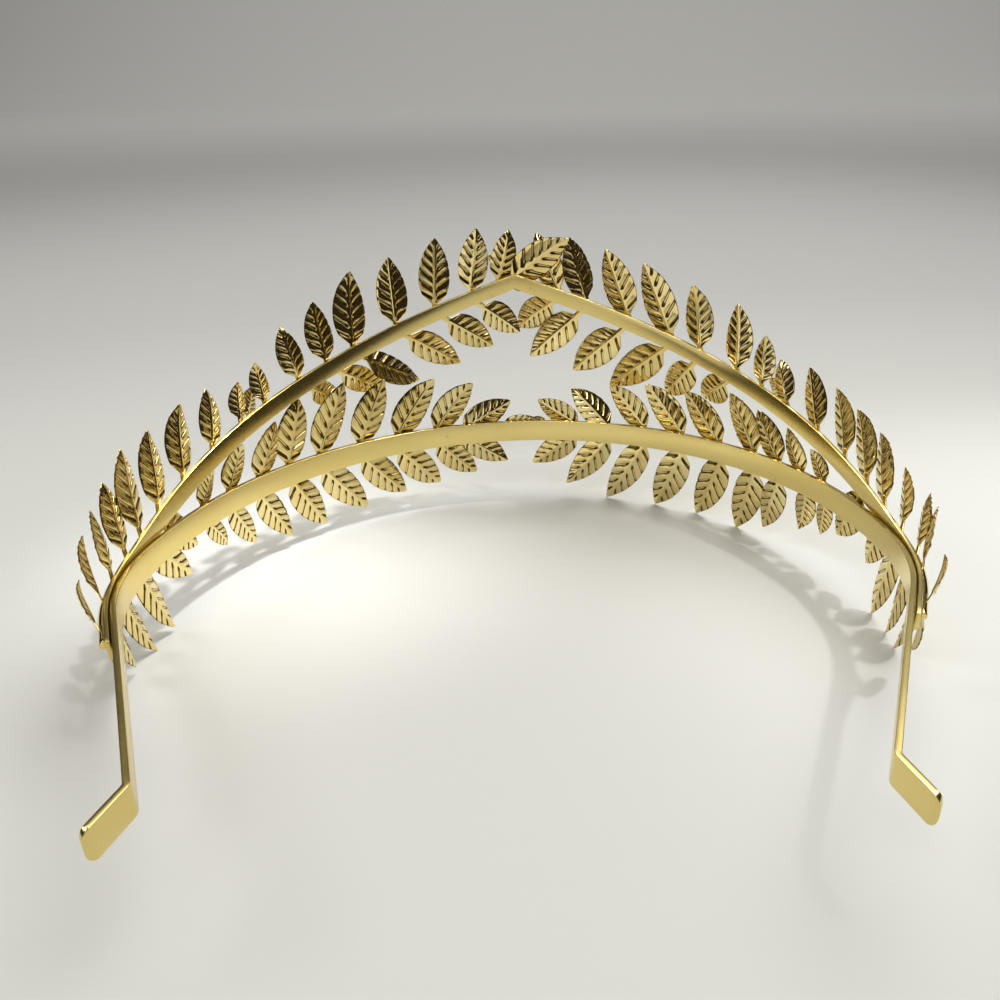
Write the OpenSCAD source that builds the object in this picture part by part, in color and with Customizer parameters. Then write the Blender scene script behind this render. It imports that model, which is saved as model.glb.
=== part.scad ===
// Laurel wreath crown: an open tiara of gold-coloured metal. A flat head band bends round
// the head, a second strip rises from its sides to a peak over the brow, and sprays of
// stamped laurel leaves are soldered along the outer faces of both. The wearer faces +Y,
// +Z is up, and the crown stands on the tips of its longest lower leaves at z = 0.

/* [Head band] */
// Radius of the round front of the band, to its inner face
front_radius = 69.2; // [60:0.1:80]
// Turn of each half of the round front, in degrees
front_turn = 86; // [78:1:92]
// Radius of the tighter bend behind the ears
side_radius = 38; // [25:1:60]
// Turn of that bend, in degrees
side_turn = 28; // [18:1:36]
// Length of each plain straight leg
leg_length = 43; // [30:1:60]
// Width of the flat strip
band_width = 5; // [4:0.1:7]
// Thickness of the flat strip
band_thick = 1; // [0.8:0.1:1.5]

/* [Tabs] */
// Turn that sends each tab outwards at the end of its leg, in degrees
tab_turn = 40; // [20:1:60]
// Radius inside that fold
tab_fold_radius = 1; // [0.5:0.1:3]
// Flat length of a tab
tab_length = 6.6; // [4:0.1:14]
// Radius of the two corners at a tab's end
tab_corner = 1.6; // [0.5:0.1:1.9]
// Radius inside the curl at a tab's end
curl_radius = 1.2; // [0.6:0.1:3]
// Turn of that curl, in degrees
curl_turn = 38; // [10:1:70]

/* [Peak band] */
// Height of the peak over the head band's lower edge
peak_height = 41; // [34:0.5:50]
// Rise of each arm for each millimetre along the head band
peak_slope = 0.35; // [0.3:0.01:0.4]
// Width of the peak strip
peak_width = 3.3; // [2.5:0.1:4.5]
// Thickness of the peak strip
peak_thick = 0.8; // [0.6:0.1:1.2]
// Distance along the head band from the brow to each end of the peak strip
peak_reach = 131; // [126:1:138]
// Length over which an arm levels out along the head band
peak_ease = 6; // [2:1:10]

/* [Leaves] */
// Length of a full leaf with its neck
leaf_length = 18; // [15:0.5:19]
// Greatest width of a full leaf
leaf_width = 7; // [5:0.1:7.8]
// Thickness of a leaf along its midrib
leaf_thick = 0.7; // [0.6:0.1:1]
// Width of the neck that joins a leaf to its stem
neck_width = 1.3; // [1:0.1:1.8]
// Height of the stamped veins
vein_relief = 0.4; // [0.2:0.05:0.5]
// Lift of a leaf's edges over its midrib, in degrees
leaf_fold = 9; // [2:1:16]

/* [Stems] */
// Height of each spray's stem
stem_width = 1.5; // [1:0.1:2]
// Thickness of each spray's stem
stem_thick = 0.9; // [0.7:0.1:1.2]
// Solder gap between one piece and the next
seat_gap = 0.2; // [0.1:0.05:0.3]

/* [Stance] */
// Height of the head band's lower edge over the surface that the leaf tips stand on
stand_height = 16.5; // [14:0.5:18]

/* [Hidden] */
LEFT = -1;
RIGHT = 1;
deg = 180 / PI;

// Columns of a leaf table. AT is a pair's share of the spray's length, counted from its outer
// end. UPPER and LOWER are leaf lengths as shares of leaf_length, where 0 leaves the leaf out.
// REACH, where it is over 0, is the share of the stand height that the lower leaf reaches down,
// in place of a length. The angles from the stem are in degrees.
AT = 0;
UPPER = 1;
UPPER_ANGLE = 2;
LOWER = 3;
REACH = 4;
LOWER_ANGLE = 5;

// The crown was bent by hand, so the wearer's left and right sprays differ a little
main_left_rows = [
    [0.040, 0.54, 53, 0, 0.47, 55],
    [0.135, 0.70, 55, 0, 0.65, 63],
    [0.233, 0.84, 55, 0, 0.79, 62],
    [0.340, 0.97, 69, 0, 0.83, 62],
    [0.437, 1.10, 60, 0, 0.80, 52],
    [0.564, 1.03, 62, 0, 0.73, 50],
    [0.678, 1.04, 52, 0, 0.68, 50],
    [0.798, 0.94, 49, 0, 0.56, 47],
    [0.878, 0.88, 28, 0, 0.40, 36]
];
main_right_rows = [
    [0.065, 0.54, 47, 0, 0.48, 86],
    [0.139, 0.70, 49, 0, 0.56, 86],
    [0.224, 0.84, 49, 0, 0.80, 74],
    [0.313, 0.94, 55, 0, 1.00, 75],
    [0.422, 0.96, 46, 0, 1.00, 68],
    [0.547, 0.96, 48, 0, 1.00, 67],
    [0.668, 0.88, 48, 0, 1.00, 60],
    [0.780, 0.84, 44, 0, 0.80, 52],
    [0.875, 0.77, 31, 0, 0.46, 37]
];
peak_left_rows = [
    [0.016, 0.56, 70, 0.00, 0, 0],
    [0.164, 0.73, 79, 0.72, 0, 51],
    [0.281, 0.82, 74, 0.94, 0, 50],
    [0.385, 1.01, 64, 1.16, 0, 50],
    [0.561, 0.92, 70, 1.10, 0, 53],
    [0.714, 0.94, 66, 0.97, 0, 53],
    [0.852, 0.88, 61, 0.85, 0, 56],
    [0.958, 0.74, 55, 0.00, 0, 0]
];
peak_right_rows = [
    [0.031, 0.68, 66, 0.00, 0, 0],
    [0.136, 0.88, 65, 0.72, 0, 57],
    [0.289, 0.89, 62, 0.88, 0, 69],
    [0.400, 1.06, 46, 1.29, 0, 57],
    [0.573, 0.98, 49, 1.16, 0, 60],
    [0.742, 0.90, 55, 1.14, 0, 60],
    [0.844, 0.88, 45, 0.88, 0, 55],
    [0.958, 0.74, 39, 0.00, 0, 0]
];
side_left_rows = [
    [0.062, 0.55, 44, 0, 0.58, 55],
    [0.205, 0.70, 48, 0, 0.88, 70],
    [0.304, 0.74, 60, 0, 1.00, 72],
    [0.403, 0.82, 63, 0, 0.93, 78],
    [0.490, 0.96, 55, 0, 0.55, 65],
    [0.586, 0.92, 51, 0, 0.25, 69],
    [0.713, 0.90, 48, 0, 0, 0],
    [0.845, 0.76, 50, 0, 0, 0],
    [0.976, 0.54, 58, 0, 0, 0]
];
side_right_rows = [
    [0.062, 0.55, 34, 0, 0.58, 65],
    [0.226, 0.70, 40, 0, 1.00, 77],
    [0.296, 0.66, 52, 0, 1.00, 78],
    [0.405, 0.71, 45, 0, 1.00, 86],
    [0.502, 0.89, 36, 0, 0.47, 90],
    [0.602, 0.93, 34, 0, 0.39, 81],
    [0.716, 0.89, 37, 0, 0, 0],
    [0.842, 0.83, 40, 0, 0, 0],
    [0.974, 0.65, 44, 0, 0, 0]
];

// The leaf at a stem's inner end: its angle and its outward lean in degrees, its share of the
// leaf length, and the distance from the brow at which the stem ends
main_ends = [[7, 0, 0.7, 6], [1, 25, 0.5, 8]];
peak_ends = [[17, -3, 1, 1.5], [6, 28, 0.9, 5.5]];
side_ends = [[28, 24, 0.5, 64.5], [12, 24, 0.5, 64.5]];

// Distances along the head band from the brow to a spray's outer and inner ends
main_outer = 84.8;
main_inner = 6;
peak_outer = 60.5;
peak_inner = 1.5;
side_outer = 129;
side_inner = 64.5;

// For a spray's upper and its lower leaves: outward lean in degrees and length of the neck
main_lean = [3, 2];
peak_lean = [4, 9];
// More lean for the leaves by the peak on the wearer's right, which pass behind the left ones
crossing_lean = [0, 12];
side_lean = [13, -2];
main_necks = [2.2, 2.8];
peak_necks = [2.0, 4.2];
side_necks = [2.2, 2.6];
// Width of a left and a right spray's lower leaves as a share of the upper leaf's
lower_widths = [0.96, 1.08];
// Distance that the end leaf's root sits back from its stem's end
end_set = 0.4;

// A leaf's form: stations along the blade, two for each vein pair, and shares of its length
blade_stations = 12;
vein_sweep = 0.17;

// Lengths along the head band at which the round front and the bend behind the ears end
front_arc = front_radius * front_turn / deg;
side_arc = front_arc + side_radius * side_turn / deg;
legs_turn = front_turn + side_turn;
front_end = [
    front_radius * sin(front_turn),
    -front_radius * (1 - cos(front_turn))
];
side_end = [
    front_end.x + side_radius * (sin(legs_turn) - sin(front_turn)),
    front_end.y - side_radius * (cos(front_turn) - cos(legs_turn))
];

// Offsets of each piece's inner face from the head band's inner face
peak_offset = band_thick + seat_gap;
main_stem_offset = band_thick + seat_gap;
outer_stem_offset = peak_offset + peak_thick + seat_gap;

// The head band's line: turn, and place, at a distance s from the brow and an offset outwards.
// Negative distances are on the wearer's left.
function line_turn(s) =
    s <= front_arc ? s / front_radius * deg
    : s <= side_arc ? front_turn + (s - front_arc) / side_radius * deg
    : legs_turn;
function half_line(s, turn) =
    s <= front_arc ? [front_radius * sin(turn), -front_radius * (1 - cos(turn))]
    : s <= side_arc ? [
        front_end.x + side_radius * (sin(turn) - sin(front_turn)),
        front_end.y - side_radius * (cos(front_turn) - cos(turn))
    ]
    : [
        side_end.x + (s - side_arc) * cos(legs_turn),
        side_end.y - (s - side_arc) * sin(legs_turn)
    ];
function outward(s) =
    let (turn = line_turn(abs(s)))
    [(s < 0 ? -1 : 1) * sin(turn), cos(turn), 0];
function along(s, offset, z) =
    let (turn = line_turn(abs(s)), p = half_line(abs(s), turn))
    [(s < 0 ? -1 : 1) * p.x, p.y, z] + offset * outward(s);

// Upper edge of the peak strip at a distance s: an even rise that eases into a level run
// flush with the head band's upper edge
function peak_top(s) =
    let (rise = peak_height - peak_slope * abs(s), step = rise - band_width)
    stand_height + band_width + (step + sqrt(step * step + peak_ease * peak_ease / 4)) / 2
    - peak_ease * peak_ease / 16 / max(abs(step), peak_ease);
function peak_fall(s) = (peak_top(abs(s) + 0.5) - peak_top(abs(s) - 0.5));
function peak_tall(s) = peak_width * sqrt(1 + peak_fall(s) * peak_fall(s));

// Middle height of each spray's stem
function main_stem_z(s) = stand_height + band_width / 2;
function peak_stem_z(s) = peak_top(s) - peak_tall(s) / 2;

// A closed skin through rings of four points each
function ring_faces(count) = [
    for (k = [0 : count - 2], i = [0 : 3])
        let (a = 4 * k + i, b = 4 * k + (i + 1) % 4)
        each [[a, a + 4, b + 4], [a, b + 4, b]]
];
function start_faces() = [[0, 1, 2], [0, 2, 3]];
function end_faces(count) =
    let (a = 4 * (count - 1))
    [[a, a + 2, a + 1], [a, a + 3, a + 2]];
module skin(rings) {
    count = len(rings);
    polyhedron(
        points = [for (ring = rings) each ring],
        faces = concat(ring_faces(count), start_faces(), end_faces(count)),
        convexity = 6
    );
}

// A strip that stands on edge along the head band's line, from one distance to another
module standing_strip(from, to, offset, thick, steps, top_z, tall) {
    skin([
        for (k = [0 : steps])
            let (
                s = from + (to - from) * k / steps,
                high = top_z[k],
                low = high - tall[k]
            )
            [
                along(s, offset + thick, high), along(s, offset, high),
                along(s, offset, low), along(s, offset + thick, low)
            ]
    ]);
}

// Outline of a leaf's blade: half width as a share of its greatest, at a share t of its length
function blade(t) = 2.529 * pow(max(t, 0), 0.6) * pow(max(1 - t, 0), 0.75);

// A leaf from its root, along d, with its face along n. Its blade is pleated into veins that
// run forwards from the midrib, and it thins to an edge all round. Its width is a share of
// the full leaf's.
module leaf(root, d, n, length, neck, size) {
    w = cross(n, d);
    half = leaf_width * size / 2;
    lift = tan(leaf_fold);
    root_ring = [
        root + neck_width / 2 * w,
        root + leaf_thick / 2 * n,
        root - neck_width / 2 * w,
        root - leaf_thick / 2 * n
    ];
    rings = [
        for (k = [0 : blade_stations - 1])
            let (
                t = k / blade_stations,
                te = t + vein_sweep * blade(t) * (1 - t / 2),
                reach = neck_width / 2 * (1 - t) * (1 - t) + half * blade(te),
                fade = min(1, 2 * blade(t)),
                vein = (k % 2 == 0 ? -0.5 : 0.5) * vein_relief * size * fade,
                mid = root + (neck + (length - neck) * t) * d,
                edge = root + (neck + (length - neck) * te) * d,
                thick = leaf_thick * (1 - 0.4 * t) / 2
            )
            [
                edge + reach * w + (lift * reach + vein) * n,
                mid + (vein + thick) * n,
                edge - reach * w + (lift * reach + vein) * n,
                mid + (vein - thick) * n
            ]
    ];
    count = blade_stations + 1;
    last = 4 * (count - 1);
    tip = 4 * count;
    polyhedron(
        points = concat([for (ring = concat([root_ring], rings)) each ring], [root + length * d]),
        faces = concat(
            ring_faces(count),
            start_faces(),
            [for (i = [0 : 3]) [last + i, tip, last + (i + 1) % 4]]
        ),
        convexity = 6
    );
}

// Directions at a distance s on one side's stem: towards the brow, up, and outwards
function stem_point(side, s, offset, kind) =
    along(side * s, offset, kind == "main" ? main_stem_z(s) : peak_stem_z(s));
function unit(v) = v / norm(v);
function growth(side, s, offset, kind) =
    unit(stem_point(side, s - 0.5, offset, kind) - stem_point(side, s + 0.5, offset, kind));

// Direction of a leaf at an angle over its stem (under it where negative) and a lean outwards
function leaf_aim(side, s, offset, kind, angle, lean) =
    let (
        g = growth(side, s, offset, kind),
        n = outward(side * s),
        up = side * cross(n, g),
        flat = cos(angle) * g + sin(angle) * up
    )
    cos(lean) * flat + sin(lean) * n;
function leaf_face(side, s, aim) =
    let (n = outward(side * s))
    unit(n - (n * aim) * aim);

// Length of a lower leaf: a share of the leaf length, or what brings its tip down to its share
// of the stand height
function lower_length(row, root, aim) =
    row[REACH] > 0
    ? (root.z - stand_height * (1 - row[REACH])) / -aim.z
    : row[LOWER] * leaf_length;

// One spray: a thin stem with leaves above and below it, and a leaf at its inner end. The end
// leaf is given as its angle, its lean, its share of the leaf length and where its stem ends.
module spray(side, rows, kind, outer, inner, offset, leans, necks, end_leaf, cross = 0) {
    middle = offset + stem_thick / 2;
    stem_end = end_leaf[3];
    steps = ceil((outer - stem_end) / 4);
    from = side == RIGHT ? stem_end : -outer;
    to = side == RIGHT ? outer : -stem_end;
    tops = [
        for (k = [0 : steps])
            stem_point(side, abs(from + (to - from) * k / steps), middle, kind).z + stem_width / 2
    ];
    standing_strip(from, to, offset, stem_thick, steps, tops, [for (k = [0 : steps]) stem_width]);
    for (row = rows) {
        s = outer + (inner - outer) * row[AT];
        root = stem_point(side, s, middle, kind);
        wide = min(1, row[UPPER]);
        more = row[AT] > 0.8 ? cross : 0;
        up_aim = leaf_aim(side, s, middle, kind, row[UPPER_ANGLE], leans[0] + more);
        down_aim = leaf_aim(side, s, middle, kind, -row[LOWER_ANGLE], leans[1] + more);
        if (row[UPPER] > 0 && s > stem_end)
            leaf(
                root, up_aim, leaf_face(side, s, up_aim),
                row[UPPER] * leaf_length, necks[0], wide
            );
        if ((row[LOWER] > 0 || row[REACH] > 0) && s > stem_end)
            leaf(
                root, down_aim, leaf_face(side, s, down_aim),
                lower_length(row, root, down_aim), necks[1], wide * lower_widths[side == LEFT ? 0 : 1]
            );
    }
    end_aim = leaf_aim(side, stem_end, middle, kind, end_leaf[0], end_leaf[1]);
    leaf(
        stem_point(side, stem_end + end_set, middle, kind),
        end_aim,
        leaf_face(side, stem_end, end_aim),
        end_leaf[2] * leaf_length,
        necks[0],
        end_leaf[2]
    );
}

// Plan of the head band's inner face on the wearer's right: [x, y, turn] from the brow round to
// the end of the tab. A bend away from the head has its centre outside the strip.
function face_out(turn) = [sin(turn), cos(turn)];
function bend_in(p, radius, turn, steps) = [
    for (k = [1 : steps])
        let (t = p.z + turn * k / steps, q = [p.x, p.y] + radius * (face_out(t) - face_out(p.z)))
        [q.x, q.y, t]
];
function bend_out(p, radius, turn, steps) = [
    for (k = [1 : steps])
        let (t = p.z - turn * k / steps, q = [p.x, p.y] + radius * (face_out(p.z) - face_out(t)))
        [q.x, q.y, t]
];
function straight(p, length) = [p.x + length * cos(p.z), p.y - length * sin(p.z), p.z];
function last(list) = list[len(list) - 1];

brow = [0, 0, 0];
front_run = bend_in(brow, front_radius, front_turn, 44);
side_run = bend_in(last(front_run), side_radius, side_turn, 14);
leg_foot = straight(last(side_run), leg_length);
fold_run = bend_out(leg_foot, tab_fold_radius + band_thick, tab_turn, 8);
tab_foot = straight(last(fold_run), tab_length);
curl_run = bend_out(tab_foot, curl_radius + band_thick, curl_turn, 8);
half_plan = concat([brow], front_run, side_run, [leg_foot], fold_run, [tab_foot], curl_run);

// How far that leaf's own curve stands before its tip
end_rise = 0.45;
// Places what follows in the crown's frame: its origin is under the middle of its outline. The
// foremost point is the tip of the leaf that ends the right peak spray.
front_reach = outer_stem_offset + stem_thick / 2
    + peak_ends[1][2] * leaf_length * sin(peak_ends[1][1]) + end_rise;
back_reach = -last(half_plan).y;
module crown_frame() {
    translate([0, (back_reach - front_reach) / 2, 0]) children();
}

// Plan points of one half's inner face (offset 0) or outer face (offset band_thick)
function plan_side(side, offset) = [
    for (p = half_plan)
        let (q = [p.x, p.y] + offset * face_out(p.z))
        [side * q.x, q.y]
];
function backwards(list) = [for (k = [len(list) - 1 : -1 : 0]) list[k]];
function without_first(list) = [for (k = [1 : len(list) - 1]) list[k]];

// What rounds one corner of a tab's end off, as seen from the side
module corner_cut(p, lower) {
    z = lower ? tab_corner : band_width - tab_corner;
    translate([p.x, p.y, z])
        rotate([0, 0, -p.z])
            translate([0.02 - tab_corner, band_thick + 2, 0])
                rotate([90, 0, 0])
                    linear_extrude(height = band_thick + 4)
                        difference() {
                            translate([0, lower ? -tab_corner - 1 : 0])
                                square([tab_corner + 1, tab_corner + 1]);
                            circle(r = tab_corner, $fn = 48);
                        }
}

module head_band() {
    right = plan_side(RIGHT, 0);
    right_out = plan_side(RIGHT, band_thick);
    left = plan_side(LEFT, 0);
    left_out = plan_side(LEFT, band_thick);
    outline = concat(
        backwards(left), without_first(right),
        backwards(right_out), without_first(left_out)
    );
    color([0.85, 0.72, 0.42])
        crown_frame()
            translate([0, 0, stand_height])
                difference() {
                    linear_extrude(height = band_width) polygon(outline);
                    for (lower = [true, false]) {
                        corner_cut(last(half_plan), lower);
                        mirror([1, 0, 0]) corner_cut(last(half_plan), lower);
                    }
                }
}

module peak_band() {
    steps = 2 * ceil(peak_reach / 4);
    places = [for (k = [0 : steps]) -peak_reach + 2 * peak_reach * k / steps];
    color([0.85, 0.72, 0.42])
        crown_frame()
            standing_strip(
                -peak_reach, peak_reach, peak_offset, peak_thick, steps,
                [for (s = places) peak_top(s)], [for (s = places) peak_tall(s)]
            );
}

module main_spray(side) {
    color([0.82, 0.66, 0.33])
        crown_frame()
            spray(
                side, side == LEFT ? main_left_rows : main_right_rows, "main",
                main_outer, main_inner, main_stem_offset,
                main_lean, main_necks, main_ends[side == LEFT ? 0 : 1]
            );
}

// The wearer's left peak spray passes in front of the peak, the right one behind it
module peak_spray(side) {
    color([0.82, 0.66, 0.33])
        crown_frame()
            spray(
                side, side == LEFT ? peak_left_rows : peak_right_rows, "peak",
                peak_outer, peak_inner, outer_stem_offset,
                peak_lean, peak_necks, peak_ends[side == LEFT ? 0 : 1],
                crossing_lean[side == LEFT ? 0 : 1]
            );
}

module side_spray(side) {
    color([0.82, 0.66, 0.33])
        crown_frame()
            spray(
                side, side == LEFT ? side_left_rows : side_right_rows, "side",
                side_outer, side_inner, outer_stem_offset,
                side_lean, side_necks, side_ends[side == LEFT ? 0 : 1]
            );
}

head_band();
peak_band();
main_spray(LEFT);  // main_spray_left
main_spray(RIGHT);  // main_spray_right
peak_spray(LEFT);  // peak_spray_left
peak_spray(RIGHT);  // peak_spray_right
side_spray(LEFT);  // side_spray_left
side_spray(RIGHT);  // side_spray_right
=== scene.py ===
# %% [markdown]
# # A laurel wreath crown
# The crown is thin gold-coloured metal. A flat head band bends round the head, a narrower
# strip rises from its sides to a peak over the brow, and six sprays of pressed laurel leaves
# are soldered along the outer faces of both. It stands on the tips of its lower leaves. Two
# finishes cover it: a satin rolled strip, and bright pressed sheet for the leaves.
#
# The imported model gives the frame. Its solids have every main shape, with plain pleats for
# veins. What is made here over them is the fine pressing of 99 leaves, the rounded edges of
# the strips, and the two finishes.

import math

import bmesh
import bpy
import numpy as np
from mathutils import Matrix, Vector


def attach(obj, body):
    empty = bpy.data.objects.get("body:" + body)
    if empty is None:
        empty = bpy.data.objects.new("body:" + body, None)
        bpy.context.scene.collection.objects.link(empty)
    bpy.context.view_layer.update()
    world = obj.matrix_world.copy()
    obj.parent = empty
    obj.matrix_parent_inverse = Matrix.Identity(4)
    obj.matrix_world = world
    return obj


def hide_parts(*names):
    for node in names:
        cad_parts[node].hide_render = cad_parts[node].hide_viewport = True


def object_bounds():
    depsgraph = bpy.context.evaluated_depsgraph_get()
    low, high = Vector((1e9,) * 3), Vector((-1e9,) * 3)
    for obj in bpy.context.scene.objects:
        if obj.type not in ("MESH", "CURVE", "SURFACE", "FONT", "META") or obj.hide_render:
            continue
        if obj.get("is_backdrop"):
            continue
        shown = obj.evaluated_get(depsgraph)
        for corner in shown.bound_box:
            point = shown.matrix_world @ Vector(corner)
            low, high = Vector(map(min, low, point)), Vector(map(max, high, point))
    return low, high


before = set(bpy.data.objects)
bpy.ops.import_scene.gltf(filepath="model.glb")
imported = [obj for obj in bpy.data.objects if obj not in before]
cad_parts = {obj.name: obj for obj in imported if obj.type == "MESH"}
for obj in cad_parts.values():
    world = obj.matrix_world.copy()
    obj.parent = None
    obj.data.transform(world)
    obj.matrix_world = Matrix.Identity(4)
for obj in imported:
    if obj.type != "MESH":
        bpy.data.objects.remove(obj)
cad_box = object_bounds()
print("pieces in the frame:", ", ".join(sorted(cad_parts)))

# %% [markdown]
# ## The line of the crown
# Every piece follows one line round the head: a round front, a tighter bend behind each ear,
# and a straight leg. A place on the crown is a distance along that line from the brow, an
# offset outwards from the band's inner face, and a height. Distances here are millimetres, as
# a jeweller would measure, and become metres when a mesh is made. Negative distances are on
# the wearer's left.

# %% The line of the crown
MM = 0.001
LEFT, RIGHT = -1, 1
FRONT_RADIUS, FRONT_TURN = 69.2, math.radians(86)
SIDE_RADIUS, SIDE_TURN = 38.0, math.radians(28)
FRONT_ARC = FRONT_RADIUS * FRONT_TURN
SIDE_ARC = FRONT_ARC + SIDE_RADIUS * SIDE_TURN
LEGS_TURN = FRONT_TURN + SIDE_TURN
BROW_Y = 59.9696


def line_turn(s):
    if s <= FRONT_ARC:
        return s / FRONT_RADIUS
    return min(FRONT_TURN + (s - FRONT_ARC) / SIDE_RADIUS, LEGS_TURN)


def half_line(s):
    turn = min(line_turn(s), FRONT_TURN)
    x, y = FRONT_RADIUS * math.sin(turn), FRONT_RADIUS * (math.cos(turn) - 1)
    if s > FRONT_ARC:
        bend = line_turn(s)
        x += SIDE_RADIUS * (math.sin(bend) - math.sin(FRONT_TURN))
        y += SIDE_RADIUS * (math.cos(bend) - math.cos(FRONT_TURN))
    if s > SIDE_ARC:
        x += (s - SIDE_ARC) * math.cos(LEGS_TURN)
        y -= (s - SIDE_ARC) * math.sin(LEGS_TURN)
    return x, y


def outward(s):
    turn = line_turn(abs(s))
    return np.array([math.copysign(math.sin(turn), s), math.cos(turn), 0.0])


def along(s, offset, z):
    x, y = half_line(abs(s))
    return np.array([math.copysign(x, s), y + BROW_Y, z]) + offset * outward(s)


print("the leg starts", round(SIDE_ARC, 1), "mm along the line")

# %% [markdown]
# ## Heights
# The head band lies level, 16.5 mm over the surface that the crown stands on. The upper edge of
# the peak strip falls evenly from the brow and eases level where it meets the head band.

# %% Heights
STAND = 16.5
BAND_WIDTH, BAND_THICK = 5.0, 1.0
PEAK_HEIGHT, PEAK_SLOPE, PEAK_EASE = 41.0, 0.35, 6.0
PEAK_WIDTH, PEAK_THICK, PEAK_REACH = 3.3, 0.8, 131.0
SEAT_GAP = 0.2
STEM_WIDTH, STEM_THICK = 1.5, 0.9


def peak_top(s):
    step = PEAK_HEIGHT - PEAK_SLOPE * abs(s) - BAND_WIDTH
    eased = (step + math.sqrt(step * step + PEAK_EASE * PEAK_EASE / 4)) / 2
    return STAND + BAND_WIDTH + eased - PEAK_EASE * PEAK_EASE / 16 / max(abs(step), PEAK_EASE)


def peak_tall(s):
    fall = peak_top(abs(s) + 0.5) - peak_top(abs(s) - 0.5)
    return PEAK_WIDTH * math.sqrt(1 + fall * fall)


def stem_z(kind, s):
    return STAND + BAND_WIDTH / 2 if kind == "main" else peak_top(s) - peak_tall(s) / 2


MAIN_OFFSET = BAND_THICK + SEAT_GAP
OUTER_OFFSET = MAIN_OFFSET + PEAK_THICK + SEAT_GAP
print("the peak strip's top is", round(peak_top(0), 1), "mm up")

# %% [markdown]
# ## Drawing a strip
# Both bands and all stems are strips drawn along a path. By hand that is one face for the
# cross-section, extruded again and again, each new end put in its place. The helper does the
# same: a filled circle with as many corners as the section has, extruded ring by ring. Then a
# Bevel modifier rounds the long edges, because a rolled strip has no sharp ones, and the
# rounded edge is what catches the light.

# %% Drawing a strip
def select_only(obj):
    bpy.ops.object.select_all(action="DESELECT")
    obj.select_set(True)
    bpy.context.view_layer.objects.active = obj


def drawn(name, rings, rounding):
    bpy.ops.object.select_all(action="DESELECT")
    bpy.ops.mesh.primitive_circle_add(vertices=len(rings[0]), radius=MM, fill_type="NGON")
    obj = bpy.context.object
    obj.name = obj.data.name = name
    bpy.ops.object.mode_set(mode="EDIT")
    mesh = bmesh.from_edit_mesh(obj.data)
    corner = {v.index: i for i, v in enumerate(mesh.verts)}
    for v in mesh.verts:
        v.co = Vector(rings[0][corner[v.index]]) * MM
    for ring in rings[1:]:
        bpy.ops.mesh.extrude_region()
        mesh = bmesh.from_edit_mesh(obj.data)
        mesh.verts.index_update()
        fresh = {}
        for v in mesh.verts:
            if v.select:
                behind = [e.other_vert(v) for e in v.link_edges if not e.other_vert(v).select]
                fresh[v.index] = corner[behind[0].index]
        for v in mesh.verts:
            if v.index in fresh:
                v.co = Vector(ring[fresh[v.index]]) * MM
        corner = fresh
        bmesh.update_edit_mesh(obj.data)
    bpy.ops.mesh.select_all(action="SELECT")
    bpy.ops.mesh.normals_make_consistent(inside=False)
    bpy.ops.object.mode_set(mode="OBJECT")
    bevel = obj.modifiers.new("rounded edges", "BEVEL")
    bevel.width = rounding * MM
    bevel.segments = 3
    bevel.limit_method = "ANGLE"
    bevel.angle_limit = math.radians(50)
    select_only(obj)
    bpy.ops.object.modifier_apply(modifier=bevel.name)
    bpy.ops.object.shade_smooth_by_angle(angle=math.radians(40))
    print(name, "has", len(obj.data.polygons), "faces")
    return obj


# %% [markdown]
# ## The head band
# A 5 mm strip on edge. Each leg ends in a tab: the strip folds outwards, runs on for 6.6 mm
# and curls at its end, with two rounded corners. The plan is drawn once for the right side
# and mirrored for the left, and the strip is drawn from one tab's end to the other.

# %% The head band
TAB_TURN, TAB_FOLD, TAB_LENGTH, TAB_CORNER = math.radians(40), 1.0, 6.6, 1.6
CURL_RADIUS, CURL_TURN = 1.2, math.radians(38)
LEG_LENGTH = 43.0


def half_plan():
    """Inner face from the brow to the tab's end: x, y, turn."""
    plan = []
    for s in np.linspace(0, FRONT_ARC, 57)[:-1]:
        plan.append((*half_line(s), line_turn(s)))
    for s in np.linspace(FRONT_ARC, SIDE_ARC, 18)[:-1]:
        plan.append((*half_line(s), line_turn(s)))
    for s in np.linspace(SIDE_ARC, SIDE_ARC + LEG_LENGTH, 12):
        plan.append((*half_line(s), LEGS_TURN))

    def bend_out(radius, turn, steps):
        x0, y0, t0 = plan[-1]
        for k in range(1, steps + 1):
            t = t0 - turn * k / steps
            x = x0 + radius * (math.sin(t0) - math.sin(t))
            y = y0 + radius * (math.cos(t0) - math.cos(t))
            plan.append((x, y, t))

    bend_out(TAB_FOLD + BAND_THICK, TAB_TURN, 8)
    x0, y0, t0 = plan[-1]
    for step in (0.5, 0.9, 0.97, 1.0):
        run = TAB_LENGTH * step
        plan.append((x0 + run * math.cos(t0), y0 - run * math.sin(t0), t0))
    bend_out(CURL_RADIUS + BAND_THICK, CURL_TURN, 9)
    return plan


def band_rings():
    plan = half_plan()
    steps = [math.dist(a[:2], b[:2]) for a, b in zip(plan, plan[1:])]
    left_over = [sum(steps[k:]) for k in range(len(plan))]
    rings = []
    for (x, y, turn), rest in zip(plan, left_over):
        cut = max(TAB_CORNER - rest, 0)
        inset = TAB_CORNER - math.sqrt(TAB_CORNER**2 - cut**2)
        low, high = STAND + inset, STAND + BAND_WIDTH - inset
        ox, oy = x + BAND_THICK * math.sin(turn), y + BAND_THICK * math.cos(turn)
        ring = [(x, y, low), (x, y, high), (ox, oy, high), (ox, oy, low)]
        rings.append([(px, py + BROW_Y, pz) for px, py, pz in ring])
    mirrored = [[(-px, py, pz) for px, py, pz in ring] for ring in rings[:0:-1]]
    return mirrored + rings


head_band = drawn("head_band_strip", band_rings(), 0.16)

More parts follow.
